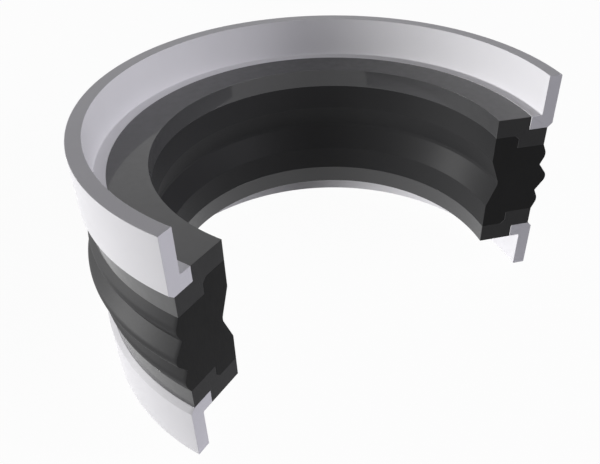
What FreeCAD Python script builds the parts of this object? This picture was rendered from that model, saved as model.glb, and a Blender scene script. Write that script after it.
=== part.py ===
"""Five-piece double-acting piston seal, cut open to show its section.

A rubber sealing element with three round lips sits between two stepped back-up
rings, and an L-shaped guide ring runs outside each back-up ring. Every ring is
one section turned about the Z axis. A sector is cut out of the whole set, so
each ring is turned through the arc that is kept and ends in two flat cut faces.

Millimetres, +Z along the ring axis. The origin is on the axis, midway between
the two end faces, and the cut-out sector is centred on -Y.
"""

import FreeCAD, Part
import math
import os
from dataclasses import dataclass

# Cylinder bore, and the piston groove under it, that the set is made for
bore_diameter = 63.0
groove_depth = 8.0
groove_length = 20.5

# How far the inside of the set is smaller in radius than the groove floor that it grips
floor_grip = 0.35

# Sector cut out of every ring, 0 for a whole set
cut_out_angle = 135.0
cut_out_direction = -90.0

# Guide rings: a thin wall that runs on the bore, with a foot turned inwards
guide_wall = 1.85
guide_overhang = 5.8
guide_foot_thickness = 2.0
guide_foot_reach = 1.55
guide_chamfer = 0.62

# Back-up rings: a flange against the groove wall and a skirt round the rubber's shoulder
backup_inset = 0.65
backup_flange_thickness = 2.75
backup_skirt_thickness = 4.1
backup_skirt_drop = 2.0

# Rubber sealing element: a shoulder at each end and three lips outside
shoulder_chamfer = 0.6
centre_lip_width = 4.4
centre_lip_flank_angle = 36.0
centre_lip_crest_radius = 1.25
side_lip_flank_angle = 24.0
side_lip_crest_radius = 1.6

# Relief groove inside the rubber: straight flanks into a round floor
relief_depth = 1.35
relief_flank_angle = 21.0
relief_floor_radius = 1.5

# Radial play where one ring slips over another
ring_play = 0.05

# Radii from the axis
guide_outer = bore_diameter / 2
guide_inner = guide_outer - guide_wall
foot_inner = guide_inner - guide_foot_reach
backup_outer = guide_outer - backup_inset
backup_neck = foot_inner - ring_play
backup_recess = backup_outer - backup_skirt_thickness
shoulder = backup_recess - ring_play
seal_inner = guide_outer - groove_depth - floor_grip

# Heights above the middle of the set
end_face = groove_length / 2
guide_end = end_face + guide_overhang
foot_seat = end_face - guide_foot_thickness
shoulder_top = end_face - backup_flange_thickness
skirt_end = shoulder_top - backup_skirt_drop

# Lips: their roots lie flush with the back-up rings, and they meet in sharp valleys
centre_lip_edge = centre_lip_width / 2

# Relief groove: where its floor runs into a flank, and where the flank ends
relief_flank = math.radians(relief_flank_angle)
relief_floor = seal_inner + relief_depth
floor_edge = relief_floor - relief_floor_radius * (1 - math.cos(relief_flank))
floor_edge_height = relief_floor_radius * math.sin(relief_flank)
relief_edge_height = floor_edge_height + (floor_edge - seal_inner) / math.tan(relief_flank)

# Arc that is kept, from one cut face round the back to the other
kept_arc = 360.0 - cut_out_angle
first_cut = cut_out_direction + cut_out_angle / 2


@dataclass(frozen=True)
class Corner:
    """A corner of a section, by its distance from the axis and its height.

    A straight edge leads to the next corner, or an arc where it passes through
    a (radius, height) on its way.
    """

    radius: float
    height: float
    arc_through: tuple = ()


def section_point(radius, height):
    """A point of a section, drawn in the XZ plane."""
    return FreeCAD.Vector(radius, 0, height)


def section_edge(corner, following):
    """The straight or round edge from one corner of a section to the next."""
    start = section_point(corner.radius, corner.height)
    end = section_point(following.radius, following.height)
    if corner.arc_through:
        return Part.Arc(start, section_point(*corner.arc_through), end).toShape()
    return Part.LineSegment(start, end).toShape()


def turned_ring(corners):
    """A section turned about the axis, from the first cut face through the kept arc."""
    following = corners[1:] + corners[:1]
    edges = [section_edge(corner, after) for corner, after in zip(corners, following)]
    face = Part.Face(Part.Wire(edges))
    origin = FreeCAD.Vector(0, 0, 0)
    axis = FreeCAD.Vector(0, 0, 1)
    face.rotate(origin, axis, first_cut)
    return face.revolve(origin, axis, kept_arc)


def mirrored(corners):
    """A section of straight edges, turned over to the lower side of the middle plane."""
    return [Corner(corner.radius, -corner.height) for corner in reversed(corners)]


def lip(top, bottom, flank_angle, crest_radius):
    """A lip from its upper root down to its lower flank: straight flanks, round crest."""
    flank = math.radians(flank_angle)
    apex = backup_outer + (top - bottom) / 2 * math.tan(flank)
    crest_centre = apex - crest_radius / math.cos(flank)
    crest_edge = crest_centre + crest_radius * math.cos(flank)
    half_crest = crest_radius * math.sin(flank)
    middle = (top + bottom) / 2
    return [
        Corner(backup_outer, top),
        Corner(crest_edge, middle + half_crest, arc_through=(crest_centre + crest_radius, middle)),
        Corner(crest_edge, middle - half_crest),
    ]


def guide_ring_section():
    """L section: wall on the bore, foot in the back-up ring's step, chamfer under the wall."""
    return [
        Corner(foot_inner, end_face),
        Corner(guide_inner, end_face),
        Corner(guide_inner, guide_end),
        Corner(guide_outer, guide_end),
        Corner(guide_outer, foot_seat + guide_chamfer),
        Corner(guide_outer - guide_chamfer, foot_seat),
        Corner(foot_inner, foot_seat),
    ]


def backup_ring_section():
    """Stepped section: flange inside the guide ring's foot, skirt round the rubber's shoulder."""
    return [
        Corner(seal_inner, end_face),
        Corner(backup_neck, end_face),
        Corner(backup_neck, foot_seat),
        Corner(backup_outer, foot_seat),
        Corner(backup_outer, skirt_end),
        Corner(backup_recess, skirt_end),
        Corner(backup_recess, shoulder_top - shoulder_chamfer),
        Corner(backup_recess - shoulder_chamfer, shoulder_top),
        Corner(seal_inner, shoulder_top),
    ]


def sealing_element_section():
    """Rubber section: three round lips outside, a shoulder at each end, a relief groove inside."""
    return [
        Corner(seal_inner, shoulder_top),
        Corner(shoulder - shoulder_chamfer, shoulder_top),
        Corner(shoulder, shoulder_top - shoulder_chamfer),
        Corner(shoulder, skirt_end),
        *lip(skirt_end, centre_lip_edge, side_lip_flank_angle, side_lip_crest_radius),
        *lip(centre_lip_edge, -centre_lip_edge, centre_lip_flank_angle, centre_lip_crest_radius),
        *lip(-centre_lip_edge, -skirt_end, side_lip_flank_angle, side_lip_crest_radius),
        Corner(backup_outer, -skirt_end),
        Corner(shoulder, -skirt_end),
        Corner(shoulder, -(shoulder_top - shoulder_chamfer)),
        Corner(shoulder - shoulder_chamfer, -shoulder_top),
        Corner(seal_inner, -shoulder_top),
        Corner(seal_inner, -relief_edge_height),
        Corner(floor_edge, -floor_edge_height, arc_through=(relief_floor, 0.0)),
        Corner(floor_edge, floor_edge_height),
        Corner(seal_inner, relief_edge_height),
    ]


sections = {
    "upper_guide_ring": guide_ring_section(),
    "upper_backup_ring": backup_ring_section(),
    "sealing_element": sealing_element_section(),
    "lower_backup_ring": mirrored(backup_ring_section()),
    "lower_guide_ring": mirrored(guide_ring_section()),
}

os.makedirs("parts", exist_ok=True)
for name, corners in sections.items():
    ring = turned_ring(corners)
    ring.exportStep(f"parts/{name}.step")
    print(f"{name}: {ring.Volume:.1f} mm3, valid {ring.isValid()}")
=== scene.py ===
"""Looks of a cut-open piston seal: guide rings, back-up rings and a rubber sealing element.

Every ring is one section turned about the Z axis and cut by the same two planes. Sizes in
the ring classes are millimetres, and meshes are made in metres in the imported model's frame.
"""

import logging
import math
from dataclasses import dataclass
from enum import Enum

import bpy
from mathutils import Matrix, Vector


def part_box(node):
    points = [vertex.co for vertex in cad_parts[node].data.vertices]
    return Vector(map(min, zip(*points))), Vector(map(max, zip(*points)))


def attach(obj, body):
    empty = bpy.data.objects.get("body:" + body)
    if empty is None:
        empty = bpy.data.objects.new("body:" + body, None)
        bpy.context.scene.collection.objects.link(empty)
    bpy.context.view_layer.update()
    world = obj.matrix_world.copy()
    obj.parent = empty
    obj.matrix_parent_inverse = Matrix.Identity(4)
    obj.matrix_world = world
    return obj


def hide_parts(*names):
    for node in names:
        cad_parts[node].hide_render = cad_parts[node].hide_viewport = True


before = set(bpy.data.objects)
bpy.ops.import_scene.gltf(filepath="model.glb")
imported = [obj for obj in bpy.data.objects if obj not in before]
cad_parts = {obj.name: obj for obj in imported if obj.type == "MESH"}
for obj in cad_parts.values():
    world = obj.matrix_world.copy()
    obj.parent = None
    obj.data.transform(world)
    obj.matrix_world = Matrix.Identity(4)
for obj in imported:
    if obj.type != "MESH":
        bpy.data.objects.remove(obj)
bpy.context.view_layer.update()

LOG = logging.getLogger("piston_seal")

MM = 0.001
Z_AXIS = (0.0, 0.0, 1.0)
BODY = "root"

# The photograph's frame in pixels, and the width of the camera's sensor
FRAME_WIDTH = 600
FRAME_HEIGHT = 464
SENSOR_WIDTH_MM = 36.0

# Fewest flats on a rounded corner
FEWEST_FLATS = 3

# Noise that every finish uses: its layers, and how strongly each finer layer shows
PATCH_LAYERS = 3.0
PATCH_FADE = 0.55
RELIEF_LAYERS = 2.0
RELIEF_FADE = 0.6

# Noise values that stand for the lowest and the highest roughness
SMOOTH_NOISE = 0.3
ROUGH_NOISE = 0.7

# Refractive index of these plastics and of the rubber
PLASTIC_IOR = 1.5

# A face of a ring is a cut face where more of its normal than this lies along the turning
CUT_FACE_LEAN = 0.5

# Rounding of the cut faces: its flats, and the least turn between two faces that gets one
CUT_BREAK_SEGMENTS = 2
SHARP_ANGLE = math.radians(50)

# How strongly larger faces lead the shading normals, from 1 to 100, where 50 is neutral
AREA_WEIGHT = 100

WHITE = "#ffffff"

NodeInputs = dict[str | int, object]


class Side(Enum):
    """Side of the middle plane that a ring lies on, as the sign of its height."""

    UPPER = 1
    LOWER = -1


def srgb(hex_colour: str) -> tuple[float, float, float, float]:
    """Turn an sRGB hex colour into linear red, green, blue and full alpha.

    Args:
        hex_colour: Six hex digits after a hash sign.

    Returns:
        Linear colour with alpha 1.
    """
    channels = [int(hex_colour[place:place + 2], 16) / 255 for place in (1, 3, 5)]
    linear = [
        value / 12.92 if value <= 0.04045 else ((value + 0.055) / 1.055) ** 2.4
        for value in channels
    ]
    return (*linear, 1.0)


def add_node(
    tree: bpy.types.NodeTree, kind: str, inputs: NodeInputs | None = None, **settings: object
) -> bpy.types.Node:
    """Add a node, set its options, and fill or link its inputs.

    Args:
        tree: Tree that the node goes into.
        kind: Type name of the node.
        inputs: Value or output socket for each input, by the input's name or place.
        settings: Options of the node, by name.

    Returns:
        The new node.
    """
    node = tree.nodes.new(kind)
    for name, value in settings.items():
        setattr(node, name, value)
    for key, value in (inputs or {}).items():
        if isinstance(value, bpy.types.NodeSocket):
            tree.links.new(value, node.inputs[key])
        else:
            node.inputs[key].default_value = value
    return node


@dataclass(frozen=True)
class Corner:
    """A corner of a ring's section, in millimetres from the axis and the middle plane.

    Attributes:
        radius: Distance from the axis.
        height: Height above the middle plane.
        rounding: Radius that breaks the corner, 0 for a sharp one.
    """

    radius: float
    height: float
    rounding: float = 0.0

    def place(self) -> Vector:
        """Give the corner as a point of the section."""
        return Vector((self.radius, self.height))


@dataclass(frozen=True)
class Outline:
    """A closed section of straight edges and rounded corners.

    Attributes:
        corners: The corners in order.
        step_angle: Largest turn between two straight pieces of a rounded corner, in degrees.
    """

    corners: tuple[Corner, ...]
    step_angle: float = 6.0

    def rounded(self, before: Corner, corner: Corner, after: Corner) -> list[Vector]:
        """Sample the arc that rounds a corner.

        Args:
            before: Corner before it.
            corner: The corner.
            after: Corner after it.

        Returns:
            Points on the arc with its two tangent points, or the corner itself where it is sharp.
        """
        place = corner.place()
        if not corner.rounding:
            return [place]
        to_before = (before.place() - place).normalized()
        to_after = (after.place() - place).normalized()
        half_angle = to_before.angle(to_after) / 2
        centre = place + (to_before + to_after).normalized() * corner.rounding / math.sin(half_angle)
        setback = corner.rounding / math.tan(half_angle)
        start = (place + to_before * setback - centre).normalized()
        end = (place + to_after * setback - centre).normalized()
        turn = 180 - math.degrees(2 * half_angle)
        steps = max(FEWEST_FLATS, math.ceil(turn / self.step_angle))
        return [
            centre + start.slerp(end, step / steps) * corner.rounding for step in range(steps + 1)
        ]

    def points(self) -> list[Vector]:
        """Sample the whole outline.

        Returns:
            Points of the closed section in order, as (radius, height).
        """
        earlier = self.corners[-1:] + self.corners[:-1]
        later = self.corners[1:] + self.corners[:1]
        rounded = map(self.rounded, earlier, self.corners, later)
        return [point for arc in rounded for point in arc]

    def mirrored(self) -> "Outline":
        """Give the same section on the other side of the middle plane."""
        turned_over = (
            Corner(corner.radius, -corner.height, corner.rounding) for corner in reversed(self.corners)
        )
        return Outline(tuple(turned_over), self.step_angle)


@dataclass(frozen=True)
class Finish:
    """A surface finish of one of the set's materials.

    Attributes:
        name: Name of the material.
        colour: Main colour as sRGB hex.
        tint: Second colour that the first drifts towards in patches.
        patch_mm: Size of those patches.
        roughness: Middle of the roughness.
        roughness_drift: How far roughness strays on each side of the middle.
        specular: Strength of the surface's own sheen, 0.5 for a plain plastic.
        grain_mm: Size of the fine relief.
        grain_depth_mm: Height of the fine relief.
        gloss: Share of the clear moulded skin over it.
        gloss_roughness: Roughness of that skin.
    """

    name: str
    colour: str
    tint: str
    patch_mm: float
    roughness: float
    roughness_drift: float
    specular: float
    grain_mm: float
    grain_depth_mm: float
    gloss: float = 0.0
    gloss_roughness: float = 0.3

    def relief_vector(
        self, tree: bpy.types.NodeTree, place: bpy.types.NodeSocket
    ) -> bpy.types.NodeSocket:
        """Give the coordinates in metres that the fine relief follows.

        Args:
            tree: Material's node tree.
            place: Object coordinates in metres.

        Returns:
            The coordinates, here the place itself.
        """
        return place

    def material(self) -> bpy.types.Material:
        """Build the material.

        Returns:
            Material with its colour, roughness and relief from nodes.
        """
        made = bpy.data.materials.new(self.name)
        made.use_nodes = True
        tree = made.node_tree
        tree.nodes.clear()
        place = add_node(tree, "ShaderNodeTexCoord").outputs["Object"]
        patches = add_node(
            tree, "ShaderNodeTexNoise",
            {
                "Vector": place,
                "Scale": 1 / (self.patch_mm * MM),
                "Detail": PATCH_LAYERS,
                "Roughness": PATCH_FADE,
            },
        )
        colour = add_node(
            tree, "ShaderNodeMix",
            {"Factor": patches.outputs["Fac"], 6: srgb(self.colour), 7: srgb(self.tint)},
            data_type="RGBA",
        )
        relief = add_node(
            tree, "ShaderNodeTexNoise",
            {
                "Vector": self.relief_vector(tree, place),
                "Scale": 1 / (self.grain_mm * MM),
                "Detail": RELIEF_LAYERS,
                "Roughness": RELIEF_FADE,
            },
        )
        rough = add_node(
            tree, "ShaderNodeMapRange",
            {
                "Value": relief.outputs["Fac"],
                "From Min": SMOOTH_NOISE,
                "From Max": ROUGH_NOISE,
                "To Min": self.roughness - self.roughness_drift,
                "To Max": self.roughness + self.roughness_drift,
            },
        )
        bump = add_node(
            tree, "ShaderNodeBump",
            {"Strength": 1.0, "Distance": self.grain_depth_mm * MM, "Height": relief.outputs["Fac"]},
        )
        shader = add_node(
            tree, "ShaderNodeBsdfPrincipled",
            {
                "Base Color": colour.outputs[2],
                "Roughness": rough.outputs["Result"],
                "Normal": bump.outputs["Normal"],
                "Specular IOR Level": self.specular,
                "Coat Weight": self.gloss,
                "Coat Roughness": self.gloss_roughness,
                "IOR": PLASTIC_IOR,
            },
        )
        add_node(tree, "ShaderNodeOutputMaterial", {"Surface": shader.outputs["BSDF"]})
        return made


@dataclass(frozen=True)
class TurnedFinish(Finish):
    """A finish whose relief runs round the axis, as the feed lines of a lathe do."""

    def relief_vector(
        self, tree: bpy.types.NodeTree, place: bpy.types.NodeSocket
    ) -> bpy.types.NodeSocket:
        """Give the distance from the axis and the height, so that the relief makes rings.

        Args:
            tree: Material's node tree.
            place: Object coordinates in metres.

        Returns:
            Coordinates of radius and height only.
        """
        axes = add_node(tree, "ShaderNodeSeparateXYZ", {0: place}).outputs
        flat = add_node(tree, "ShaderNodeCombineXYZ", {0: axes["X"], 1: axes["Y"]})
        radius = add_node(tree, "ShaderNodeVectorMath", {0: flat.outputs[0]}, operation="LENGTH")
        return add_node(
            tree, "ShaderNodeCombineXYZ", {0: radius.outputs["Value"], 2: axes["Z"]}
        ).outputs[0]


@dataclass(frozen=True)
class SlicedFinish(Finish):
    """A finish of a cut face, with drag lines that the blade left along the axis.

    Attributes:
        stretch: How many times longer than wide the drag lines are.
    """

    stretch: float = 9.0

    def relief_vector(
        self, tree: bpy.types.NodeTree, place: bpy.types.NodeSocket
    ) -> bpy.types.NodeSocket:
        """Give coordinates squeezed along the axis, so that the relief makes upright lines.

        Args:
            tree: Material's node tree.
            place: Object coordinates in metres.

        Returns:
            Coordinates that change slowly with height.
        """
        return add_node(
            tree, "ShaderNodeVectorMath",
            {0: place, 1: (1.0, 1.0, 1 / self.stretch)},
            operation="MULTIPLY",
        ).outputs[0]


# Acetal, turned from bar: pale and faintly lilac, a soft sheen with fine rings round the axis.
# The rings are drawn about twice as coarse as the real feed of 0.1 mm, so that they show.
TURNED_ACETAL = TurnedFinish(
    name="turned_acetal", colour="#d0cfd2", tint="#cac9cc", patch_mm=9.0,
    roughness=0.42, roughness_drift=0.05, specular=0.1, grain_mm=0.22, grain_depth_mm=0.0012,
)
# Acetal where the saw went through: the same plastic, duller and without the rings
SAWN_ACETAL = SlicedFinish(
    name="sawn_acetal", colour="#bebdc2", tint="#b7b6bb", patch_mm=6.0,
    roughness=0.6, roughness_drift=0.06, specular=0.06, grain_mm=0.16, grain_depth_mm=0.0015,
)
# Polyester elastomer, injection moulded: dark grey with a clear gloss and a slight flow mottle
MOULDED_ELASTOMER = Finish(
    name="moulded_elastomer", colour="#3e3e3f", tint="#39393a", patch_mm=7.0,
    roughness=0.45, roughness_drift=0.05, specular=0.2, grain_mm=1.1, grain_depth_mm=0.0008,
    gloss=0.7, gloss_roughness=0.07,
)
# Polyester elastomer where the blade went through: darker and flat
SLICED_ELASTOMER = SlicedFinish(
    name="sliced_elastomer", colour="#373737", tint="#333333", patch_mm=5.0,
    roughness=0.6, roughness_drift=0.06, specular=0.05, grain_mm=0.14, grain_depth_mm=0.0016,
)
# Nitrile rubber, compression moulded: black with a satin skin and a fine grain, which is
# drawn coarser than the mould's own grit, so that it shows
MOULDED_NITRILE = Finish(
    name="moulded_nitrile", colour="#242425", tint="#202021", patch_mm=6.0,
    roughness=0.6, roughness_drift=0.05, specular=0.12, grain_mm=0.12, grain_depth_mm=0.0018,
    gloss=0.06, gloss_roughness=0.38,
)
# Nitrile rubber where the blade went through: black and nearly without shine
SLICED_NITRILE = SlicedFinish(
    name="sliced_nitrile", colour="#232323", tint="#1f1f1f", patch_mm=4.0,
    roughness=0.62, roughness_drift=0.06, specular=0.04, grain_mm=0.13, grain_depth_mm=0.002,
)


@dataclass(frozen=True)
class Materials:
    """The outer and the cut material of each plastic and of the rubber."""

    acetal: bpy.types.Material
    acetal_cut: bpy.types.Material
    elastomer: bpy.types.Material
    elastomer_cut: bpy.types.Material
    nitrile: bpy.types.Material
    nitrile_cut: bpy.types.Material


def turned_place(
    tree: bpy.types.NodeTree, given: bpy.types.NodeOutputs
) -> bpy.types.NodeSocket:
    """Work out where each point of the straight sweep lies once it is turned.

    The sweep has the radius along X, the height along Y and the share of the kept arc along Z.

    Args:
        tree: Tree that the nodes go into.
        given: Inputs of the tree.

    Returns:
        Socket with the point's place on the ring.
    """
    position = add_node(tree, "GeometryNodeInputPosition").outputs[0]
    swept = add_node(tree, "ShaderNodeSeparateXYZ", {0: position}).outputs
    angle = add_node(
        tree, "ShaderNodeMath",
        {0: swept["Z"], 1: given["Kept Arc"], 2: given["First Cut"]},
        operation="MULTIPLY_ADD",
    )
    unturned = add_node(tree, "ShaderNodeCombineXYZ", {0: swept["X"], 2: swept["Y"]})
    return add_node(
        tree, "ShaderNodeVectorRotate",
        {"Vector": unturned.outputs[0], "Angle": angle.outputs[0]},
        rotation_type="Z_AXIS",
    ).outputs[0]


def on_cut_face(tree: bpy.types.NodeTree) -> bpy.types.NodeSocket:
    """Tell the two cut faces of a turned ring from its own surfaces.

    The normal of a cut face lies along the turning, and every other normal lies across it.

    Args:
        tree: Tree that the nodes go into.

    Returns:
        Socket with 1 on a cut face and 0 elsewhere.
    """
    position = add_node(tree, "GeometryNodeInputPosition").outputs[0]
    normal = add_node(tree, "GeometryNodeInputNormal").outputs[0]
    around = add_node(
        tree, "ShaderNodeVectorMath", {0: Z_AXIS, 1: position}, operation="CROSS_PRODUCT",
    )
    turning = add_node(tree, "ShaderNodeVectorMath", {0: around.outputs[0]}, operation="NORMALIZE")
    along = add_node(
        tree, "ShaderNodeVectorMath", {0: normal, 1: turning.outputs[0]}, operation="DOT_PRODUCT",
    )
    lean = add_node(tree, "ShaderNodeMath", {0: along.outputs["Value"]}, operation="ABSOLUTE")
    return add_node(
        tree, "ShaderNodeMath", {0: lean.outputs[0], 1: CUT_FACE_LEAN}, operation="GREATER_THAN",
    ).outputs[0]


def turned_section_tree() -> bpy.types.NodeTree:
    """Build the node tree that turns a flat section about the Z axis.

    The section is swept up a straight path of length 1 first, so that its two ends are flat
    and capped. Each point is then carried to its angle, radius and height.

    Returns:
        Tree with a geometry input and named inputs for the arc and the two materials.
    """
    tree = bpy.data.node_groups.new("turned_section", "GeometryNodeTree")
    for name, socket_type in (
        ("Section", "NodeSocketGeometry"),
        ("First Cut", "NodeSocketFloat"),
        ("Kept Arc", "NodeSocketFloat"),
        ("Steps", "NodeSocketInt"),
        ("Skin", "NodeSocketMaterial"),
        ("Cut Face", "NodeSocketMaterial"),
    ):
        tree.interface.new_socket(name, in_out="INPUT", socket_type=socket_type)
    tree.interface.new_socket("Ring", in_out="OUTPUT", socket_type="NodeSocketGeometry")
    given = add_node(tree, "NodeGroupInput").outputs

    section = add_node(tree, "GeometryNodeMeshToCurve", {"Mesh": given["Section"]})
    count = add_node(tree, "ShaderNodeMath", {0: given["Steps"], 1: 1.0}, operation="ADD")
    line = add_node(tree, "GeometryNodeCurvePrimitiveLine", {"End": Z_AXIS})
    path = add_node(
        tree, "GeometryNodeResampleCurve",
        {"Curve": line.outputs["Curve"], "Count": count.outputs[0]},
    )
    sweep = add_node(
        tree, "GeometryNodeCurveToMesh",
        {
            "Curve": path.outputs["Curve"],
            "Profile Curve": section.outputs["Curve"],
            "Fill Caps": True,
        },
    )
    turned = add_node(
        tree, "GeometryNodeSetPosition",
        {"Geometry": sweep.outputs["Mesh"], "Position": turned_place(tree, given)},
    )
    real = add_node(tree, "GeometryNodeRealizeInstances", {"Geometry": turned.outputs["Geometry"]})
    skinned = add_node(
        tree, "GeometryNodeSetMaterial",
        {"Geometry": real.outputs["Geometry"], "Material": given["Skin"]},
    )
    cut = add_node(
        tree, "GeometryNodeSetMaterial",
        {
            "Geometry": skinned.outputs["Geometry"],
            "Selection": on_cut_face(tree),
            "Material": given["Cut Face"],
        },
    )
    add_node(tree, "NodeGroupOutput", {"Ring": cut.outputs["Geometry"]})
    return tree


@dataclass(frozen=True)
class CutArc:
    """The arc that is left of every ring, in radians about +Z from +X.

    Attributes:
        first: Angle of the first cut face.
        kept: Angle from the first cut face round the back to the second.
    """

    first: float
    kept: float

    @classmethod
    def from_node(cls, node: str) -> "CutArc":
        """Work the arc out from a ring that is cut evenly on both sides of -Y.

        Args:
            node: Ring whose lowest Y is the outer corner of its cut faces.

        Returns:
            The arc.
        """
        low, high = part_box(node)
        below = math.asin(-low.y / high.x)
        return cls(-below, math.pi + 2 * below)


@dataclass(frozen=True)
class TurnedRing:
    """A ring of the set, turned from one section.

    Attributes:
        name: Name of the piece.
        node: Solid that it stands for.
        slot: Material slot of the record; not used here.
        side: Side of the middle plane.
        edge_break: Rounding of the ring's edges, in millimetres.
        fit_break: Rounding of the edges where guide and back-up ring meet in the end face.
        cut_break: Rounding of the edges of the cut faces, in millimetres.
        steps: Number of flats round the kept arc.
    """

    name: str
    node: str
    slot: str
    side: Side = Side.UPPER
    edge_break: float = 0.08
    fit_break: float = 0.005
    cut_break: float = 0.03
    steps: int = 240

    def reach(self) -> tuple[float, float, float]:
        """Measure the solid, as if it lay on the upper side.

        Returns:
            Outer radius, lower height and upper height in millimetres.
        """
        low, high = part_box(self.node)
        heights = sorted((low.z * self.side.value / MM, high.z * self.side.value / MM))
        return high.x / MM, heights[0], heights[1]

    def outline(self) -> Outline:
        """Draw the section on the upper side.

        Returns:
            The section's outline.
        """
        raise NotImplementedError

    def section_mesh(self) -> bpy.types.Mesh:
        """Draw the section as a closed line in metres, on the side that the ring lies on.

        Returns:
            Mesh of points and edges, with the radius along X and the height along Y.
        """
        outline = self.outline()
        if self.side is Side.LOWER:
            outline = outline.mirrored()
        points = [point * MM for point in outline.points()]
        section = bpy.data.meshes.new(f"{self.name}_section")
        section.from_pydata(
            [(point.x, point.y, 0.0) for point in points],
            [(index, (index + 1) % len(points)) for index in range(len(points))],
            [],
        )
        return section

    def turn(
        self,
        piece: bpy.types.Object,
        tree: bpy.types.NodeTree,
        arc: CutArc,
        skin: bpy.types.Material,
        cut_face: bpy.types.Material,
    ) -> None:
        """Turn the piece's section through the kept arc.

        Args:
            piece: Piece that holds the section.
            tree: Node tree that turns a section.
            arc: Arc that is kept.
            skin: Material of the ring's own surfaces.
            cut_face: Material of its two cut faces.
        """
        turning = piece.modifiers.new("turning", "NODES")
        turning.node_group = tree
        values = {
            "First Cut": arc.first,
            "Kept Arc": arc.kept,
            "Steps": self.steps,
            "Skin": skin,
            "Cut Face": cut_face,
        }
        for item in tree.interface.items_tree:
            if item.name in values:
                turning[item.identifier] = values[item.name]

    def break_cut_edges(self, piece: bpy.types.Object) -> None:
        """Round the edges of the two cut faces, and keep the shading of flat faces flat.

        Args:
            piece: Turned piece.
        """
        breaking = piece.modifiers.new("cut_edges", "BEVEL")
        breaking.width = self.cut_break * MM
        breaking.segments = CUT_BREAK_SEGMENTS
        breaking.limit_method = "ANGLE"
        breaking.angle_limit = SHARP_ANGLE
        breaking.use_clamp_overlap = False
        even = piece.modifiers.new("even_normals", "WEIGHTED_NORMAL")
        even.weight = AREA_WEIGHT

    def build(
        self,
        tree: bpy.types.NodeTree,
        arc: CutArc,
        skin: bpy.types.Material,
        cut_face: bpy.types.Material,
    ) -> bpy.types.Object:
        """Turn the section into a finished piece and put it in place of its solid.

        Args:
            tree: Node tree that turns a section.
            arc: Arc that is kept.
            skin: Material of the ring's own surfaces.
            cut_face: Material of its two cut faces.

        Returns:
            The finished piece.
        """
        piece = bpy.data.objects.new(self.name, self.section_mesh())
        bpy.context.scene.collection.objects.link(piece)
        self.turn(piece, tree, arc, skin, cut_face)
        self.break_cut_edges(piece)
        settle(piece)
        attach(piece, BODY)
        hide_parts(self.node)
        LOG.info("%s: %d faces on %s", self.name, len(piece.data.polygons), self.node)
        return piece


def settle(piece: bpy.types.Object) -> None:
    """Make what the modifiers show the piece's own plain mesh.

    Args:
        piece: Object whose modifiers are applied and removed.
    """
    depsgraph = bpy.context.evaluated_depsgraph_get()
    plain = bpy.data.meshes.new_from_object(piece.evaluated_get(depsgraph))
    plain.name = piece.name
    drawn = piece.data
    piece.modifiers.clear()
    piece.data = plain
    bpy.data.meshes.remove(drawn)
    plain.shade_smooth()


@dataclass(frozen=True)
class GuideRing(TurnedRing):
    """L-shaped ring that keeps the piston off the bore: a running wall with an inward foot.

    Attributes:
        wall: Thickness of the wall.
        foot_thickness: Height of the foot.
        foot_reach: How far the foot stands in from the wall.
        chamfer: Width of the chamfer under the outer edge.
        inner_corner: Rounding between foot and wall.
    """

    wall: float = 1.85
    foot_thickness: float = 2.0
    foot_reach: float = 1.55
    chamfer: float = 0.62
    inner_corner: float = 0.2

    def outline(self) -> Outline:
        """Draw the L section from the foot's bore up the wall and down its outside.

        Returns:
            The section's outline.
        """
        outer, foot_seat, free_end = self.reach()
        inner = outer - self.wall
        foot_top = foot_seat + self.foot_thickness
        foot_inner = inner - self.foot_reach
        soft = self.edge_break
        return Outline((
            Corner(foot_inner, foot_top, self.fit_break),
            Corner(inner, foot_top, self.inner_corner),
            Corner(inner, free_end, soft),
            Corner(outer, free_end, soft),
            Corner(outer, foot_seat + self.chamfer, soft),
            Corner(outer - self.chamfer, foot_seat, soft),
            Corner(foot_inner, foot_seat, soft),
        ))


@dataclass(frozen=True)
class BackupRing(TurnedRing):
    """Stepped ring between guide ring and rubber: a flange with a skirt round the shoulder.

    Attributes:
        edge_break: Rounding of the ring's edges, which are crisper than the other rings'.
        inner: Inner radius.
        flange_thickness: Height of the flange over the rubber.
        foot_thickness: Height of the step that takes the guide ring's foot.
        neck: Radius of that step.
        skirt_thickness: Thickness of the skirt.
        recess_chamfer: Width of the chamfer inside, where flange and skirt meet.
    """

    edge_break: float = 0.04
    inner: float = 23.15
    flange_thickness: float = 2.75
    foot_thickness: float = 2.0
    neck: float = 28.05
    skirt_thickness: float = 4.1
    recess_chamfer: float = 0.6

    def outline(self) -> Outline:
        """Draw the stepped section from the bore along the end face and down the skirt.

        Returns:
            The section's outline.
        """
        outer, skirt_end, end_face = self.reach()
        foot_seat = end_face - self.foot_thickness
        flange_under = end_face - self.flange_thickness
        recess = outer - self.skirt_thickness
        soft = self.edge_break
        return Outline((
            Corner(self.inner, end_face, soft),
            Corner(self.neck, end_face, self.fit_break),
            Corner(self.neck, foot_seat, soft),
            Corner(outer, foot_seat, soft),
            Corner(outer, skirt_end, soft),
            Corner(recess, skirt_end, soft),
            Corner(recess, flange_under - self.recess_chamfer, soft),
            Corner(recess - self.recess_chamfer, flange_under, soft),
            Corner(self.inner, flange_under, soft),
        ))


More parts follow.
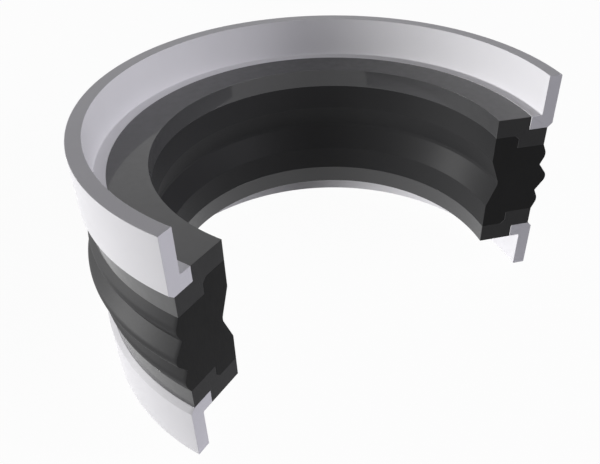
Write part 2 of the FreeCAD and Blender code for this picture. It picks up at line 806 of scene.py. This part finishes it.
@dataclass(frozen=True)
class SealingElement(TurnedRing):
    """Rubber ring with three round lips outside and a relief groove inside.

    Attributes:
        inner: Inner radius.
        shoulder: Radius of the shoulders that the back-up rings' skirts cover.
        shoulder_drop: Height of a shoulder.
        shoulder_chamfer: Width of the chamfer at a shoulder's end.
        root: Radius of the lips' roots.
        centre_lip_width: Height of the centre lip from root to root.
        centre_lip_flank: Angle of its flanks from the axis, in radians.
        centre_lip_crest: Radius of its crest.
        side_lip_flank: Angle of the side lips' flanks from the axis, in radians.
        side_lip_crest: Radius of their crests.
        relief_depth: Depth of the relief groove.
        relief_flank: Angle of its flanks from the axis, in radians.
        relief_floor: Radius of the arc that would touch its flat floor in the middle and both flanks.
        relief_edge: Rounding of the edges of its floor and flanks.
    """

    inner: float = 23.15
    shoulder: float = 26.7
    shoulder_drop: float = 2.0
    shoulder_chamfer: float = 0.6
    root: float = 30.845
    centre_lip_width: float = 4.4
    centre_lip_flank: float = math.radians(36)
    centre_lip_crest: float = 1.25
    side_lip_flank: float = math.radians(24)
    side_lip_crest: float = 1.6
    relief_depth: float = 1.35
    relief_flank: float = math.radians(21)
    relief_floor: float = 1.5
    relief_edge: float = 0.3

    def lip_apex(self, top: float, bottom: float, flank: float, crest: float) -> Corner:
        """Give the corner in which a lip's flanks would meet.

        Args:
            top: Height of the upper root.
            bottom: Height of the lower root.
            flank: Angle of the flanks from the axis.
            crest: Radius of the crest.

        Returns:
            The corner, rounded to the crest.
        """
        return Corner(self.root + (top - bottom) / 2 * math.tan(flank), (top + bottom) / 2, crest)

    def outline(self) -> Outline:
        """Draw the whole section, which is the same above and below the middle plane.

        Returns:
            The section's outline.
        """
        _, _, top = self.reach()
        skirt_end = top - self.shoulder_drop
        lip_edge = self.centre_lip_width / 2
        centre_lip = self.lip_apex(lip_edge, -lip_edge, self.centre_lip_flank, self.centre_lip_crest)
        floor = self.inner + self.relief_depth
        half_floor = self.relief_floor * math.tan(self.relief_flank / 2)
        relief_end = half_floor + self.relief_depth / math.tan(self.relief_flank)
        soft = self.edge_break
        upper_lip = self.lip_apex(skirt_end, lip_edge, self.side_lip_flank, self.side_lip_crest)
        return Outline((
            Corner(self.inner, top, soft),
            Corner(self.shoulder - self.shoulder_chamfer, top, soft),
            Corner(self.shoulder, top - self.shoulder_chamfer, soft),
            Corner(self.shoulder, skirt_end, soft),
            Corner(self.root, skirt_end, soft),
            upper_lip,
            Corner(self.root, lip_edge),
            centre_lip,
            Corner(self.root, -lip_edge),
            Corner(upper_lip.radius, -upper_lip.height, upper_lip.rounding),
            Corner(self.root, -skirt_end, soft),
            Corner(self.shoulder, -skirt_end, soft),
            Corner(self.shoulder, self.shoulder_chamfer - top, soft),
            Corner(self.shoulder - self.shoulder_chamfer, -top, soft),
            Corner(self.inner, -top, soft),
            Corner(self.inner, -relief_end, self.relief_edge),
            Corner(floor, -half_floor, self.relief_edge),
            Corner(floor, half_floor, self.relief_edge),
            Corner(self.inner, relief_end, self.relief_edge),
        ))


@dataclass(frozen=True)
class SealSet:
    """The five rings of the seal.

    Attributes:
        guides: The two guide rings, at the ends of the set.
        backups: The two back-up rings, next to them.
        element: The rubber sealing element in the middle.
    """

    guides: tuple[GuideRing, ...] = (
        GuideRing("dressed_upper_guide_ring", "upper_guide_ring", "guide_plastic"),
        GuideRing("dressed_lower_guide_ring", "lower_guide_ring", "guide_plastic", Side.LOWER),
    )
    backups: tuple[BackupRing, ...] = (
        BackupRing("dressed_upper_backup_ring", "upper_backup_ring", "backup_plastic"),
        BackupRing("dressed_lower_backup_ring", "lower_backup_ring", "backup_plastic", Side.LOWER),
    )
    element: SealingElement = SealingElement("dressed_sealing_element", "sealing_element", "seal_rubber")

    def build(self) -> None:
        """Build every ring with the outer and the cut material of its kind."""
        tree = turned_section_tree()
        arc = CutArc.from_node(self.guides[0].node)
        materials = Materials(
            acetal=TURNED_ACETAL.material(),
            acetal_cut=SAWN_ACETAL.material(),
            elastomer=MOULDED_ELASTOMER.material(),
            elastomer_cut=SLICED_ELASTOMER.material(),
            nitrile=MOULDED_NITRILE.material(),
            nitrile_cut=SLICED_NITRILE.material(),
        )
        for ring in self.guides:
            ring.build(tree, arc, materials.acetal, materials.acetal_cut)
        for ring in self.backups:
            ring.build(tree, arc, materials.elastomer, materials.elastomer_cut)
        self.element.build(tree, arc, materials.nitrile, materials.nitrile_cut)


def direction(azimuth: float, elevation: float) -> Vector:
    """Give the way from the set to a camera or lamp.

    Args:
        azimuth: Angle about the vertical in degrees, 0 in front at -Y and 90 at +X.
        elevation: Angle above the horizon in degrees.

    Returns:
        Unit vector.
    """
    turn = math.radians(azimuth)
    rise = math.radians(elevation)
    return Vector((
        math.sin(turn) * math.cos(rise), -math.cos(turn) * math.cos(rise), math.sin(rise),
    ))


@dataclass(frozen=True)
class PhotographView:
    """The photograph's camera, which looks at the middle of the set.

    Its frame is shifted a little, as the set isn't centred in the photograph.

    Attributes:
        azimuth: Camera's angle about the set in degrees.
        elevation: Camera's angle above the horizon in degrees.
        distance_mm: Distance from the middle of the set.
        focal_px: Focal length in pixels of the photograph's frame.
        axis_column: Column of the frame that the lens axis passes through.
        axis_row: Row of the frame that the lens axis passes through.
        nearest: Distance in metres at which the view begins.
        farthest: Distance in metres at which it ends.
    """

    azimuth: float = -37.5
    elevation: float = 35.12
    distance_mm: float = 91.0
    focal_px: float = 665.5
    axis_column: float = 333.8
    axis_row: float = 208.6
    nearest: float = 0.005
    farthest: float = 20.0

    def build(self) -> bpy.types.Object:
        """Make the camera and show the scene through it.

        Returns:
            The camera.
        """
        data = bpy.data.cameras.new("photograph_view")
        data.sensor_width = SENSOR_WIDTH_MM
        data.lens = self.focal_px * SENSOR_WIDTH_MM / FRAME_WIDTH
        data.shift_x = (FRAME_WIDTH / 2 - self.axis_column) / FRAME_WIDTH
        data.shift_y = (self.axis_row - FRAME_HEIGHT / 2) / FRAME_WIDTH
        data.clip_start = self.nearest
        data.clip_end = self.farthest
        camera = bpy.data.objects.new("photograph_view", data)
        back = direction(self.azimuth, self.elevation)
        camera.location = back * self.distance_mm * MM
        camera.rotation_euler = (-back).to_track_quat("-Z", "Y").to_euler()
        bpy.context.scene.collection.objects.link(camera)
        bpy.context.scene.camera = camera
        return camera


@dataclass(frozen=True)
class Softbox:
    """A soft lamp that faces the set.

    Attributes:
        name: Name of the lamp.
        azimuth: Angle from the camera about the set in degrees, positive to its right.
        elevation: Angle above the horizon in degrees.
        level: Brightness that a white surface facing the lamp gets from it.
        colour: Lamp's colour as sRGB hex.
        distance: Distance from the set in metres.
        width: Width of its face in metres.
        height: Height of its face in metres.
        shadow: Whether the rings shade one another from it.
    """

    name: str
    azimuth: float
    elevation: float
    level: float
    colour: str = WHITE
    distance: float = 1.5
    width: float = 0.5
    height: float = 0.5
    shadow: bool = True

    def build(self, view: PhotographView) -> bpy.types.Object:
        """Hang the lamp.

        A white matt surface that faces a lamp of power P at distance d has a brightness of
        P / (pi * d) ** 2, so the power follows from the level that is wanted.

        Args:
            view: Camera that the lamp's angle is counted from.

        Returns:
            The lamp.
        """
        data = bpy.data.lights.new(self.name, "AREA")
        data.shape = "RECTANGLE"
        data.size = self.width
        data.size_y = self.height
        data.color = srgb(self.colour)[:3]
        data.energy = self.level * (math.pi * self.distance) ** 2
        data.use_shadow = self.shadow
        lamp = bpy.data.objects.new(self.name, data)
        out = direction(view.azimuth + self.azimuth, self.elevation)
        lamp.location = out * self.distance
        lamp.rotation_euler = (-out).to_track_quat("-Z", "Y").to_euler()
        bpy.context.scene.collection.objects.link(lamp)
        return lamp


def sees_surround(tree: bpy.types.NodeTree) -> bpy.types.NodeSocket:
    """Give 1 for rays that show a surface directly, mirrored or through glass.

    Args:
        tree: Node tree of the surround or the floor.

    Returns:
        Socket with 1 for those rays and 0 for the light on the set.
    """
    ray = add_node(tree, "ShaderNodeLightPath").outputs
    seen = add_node(
        tree, "ShaderNodeMath",
        {0: ray["Is Camera Ray"], 1: ray["Is Glossy Ray"]},
        operation="MAXIMUM",
    )
    return add_node(
        tree, "ShaderNodeMath",
        {0: seen.outputs[0], 1: ray["Is Transmission Ray"]},
        operation="MAXIMUM",
    ).outputs[0]


@dataclass(frozen=True)
class Studio:
    """A pale floor that runs to a white surround, with soft light from both sides.

    Attributes:
        view: Camera of the photograph.
        lamps: Soft lamps. The left one casts no shadows, as that light casts none in the photograph.
        ambient: Brightness of the surround as it lights the set.
        floor_colour: Colour of the floor.
        floor_width: Width of the floor in metres.
        floor_whiteness: How much of the floor's brightness the camera sees without its shadows.
    """

    view: PhotographView = PhotographView()
    lamps: tuple[Softbox, ...] = (
        Softbox("left_softbox", azimuth=-85, elevation=5, level=1.35, shadow=False),
        Softbox("right_softbox", azimuth=77, elevation=18, level=0.88, colour="#faf9ff", width=1.4),
    )
    ambient: float = 0.02
    floor_colour: str = WHITE
    floor_width: float = 4.0
    floor_whiteness: float = 0.96

    def surround(self) -> None:
        """Make the world: white where it is seen, and a dim even light on the set."""
        world = bpy.data.worlds.new("white_surround")
        world.use_nodes = True
        tree = world.node_tree
        tree.nodes.clear()
        strength = add_node(
            tree, "ShaderNodeMapRange",
            {"Value": sees_surround(tree), "To Min": self.ambient, "To Max": 1.0},
        )
        light = add_node(
            tree, "ShaderNodeBackground",
            {"Color": srgb(WHITE), "Strength": strength.outputs["Result"]},
        )
        add_node(tree, "ShaderNodeOutputWorld", {"Surface": light.outputs["Background"]})
        bpy.context.scene.world = world

    def floor_paper(self) -> bpy.types.Material:
        """Make the floor's material: matt white paper that stays white and keeps a faint shadow.

        Returns:
            The material.
        """
        made = bpy.data.materials.new("matt_white_paper")
        made.use_nodes = True
        tree = made.node_tree
        tree.nodes.clear()
        paper = add_node(tree, "ShaderNodeBsdfDiffuse", {"Color": srgb(self.floor_colour)})
        white = add_node(
            tree, "ShaderNodeEmission", {"Color": srgb(self.floor_colour), "Strength": 1.0},
        )
        share = add_node(
            tree, "ShaderNodeMath",
            {0: sees_surround(tree), 1: self.floor_whiteness},
            operation="MULTIPLY",
        )
        mixed = add_node(
            tree, "ShaderNodeMixShader",
            {0: share.outputs[0], 1: paper.outputs["BSDF"], 2: white.outputs["Emission"]},
        )
        add_node(tree, "ShaderNodeOutputMaterial", {"Surface": mixed.outputs["Shader"]})
        return made

    def floor(self) -> bpy.types.Object:
        """Lay the floor under the set.

        Returns:
            The floor.
        """
        half = self.floor_width / 2
        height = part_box("lower_guide_ring")[0].z
        sheet = bpy.data.meshes.new("floor")
        corners = ((-half, -half), (half, -half), (half, half), (-half, half))
        sheet.from_pydata([(across, along, height) for across, along in corners], [], [(0, 1, 2, 3)])
        sheet.materials.append(self.floor_paper())
        floor = bpy.data.objects.new("floor", sheet)
        bpy.context.scene.collection.objects.link(floor)
        return floor

    def build(self) -> None:
        """Build the floor, the surround, the lamps and the camera."""
        self.floor()
        self.surround()
        for lamp in self.lamps:
            lamp.build(self.view)
        self.view.build()
        bpy.context.scene.view_settings.view_transform = "Standard"
        LOG.info("studio: %d lamps", len(self.lamps))


def main() -> None:
    """Build the seal set in its studio."""
    logging.basicConfig(level=logging.INFO, format="%(message)s")
    SealSet().build()
    Studio().build()


if __name__ == "__main__":
    main()
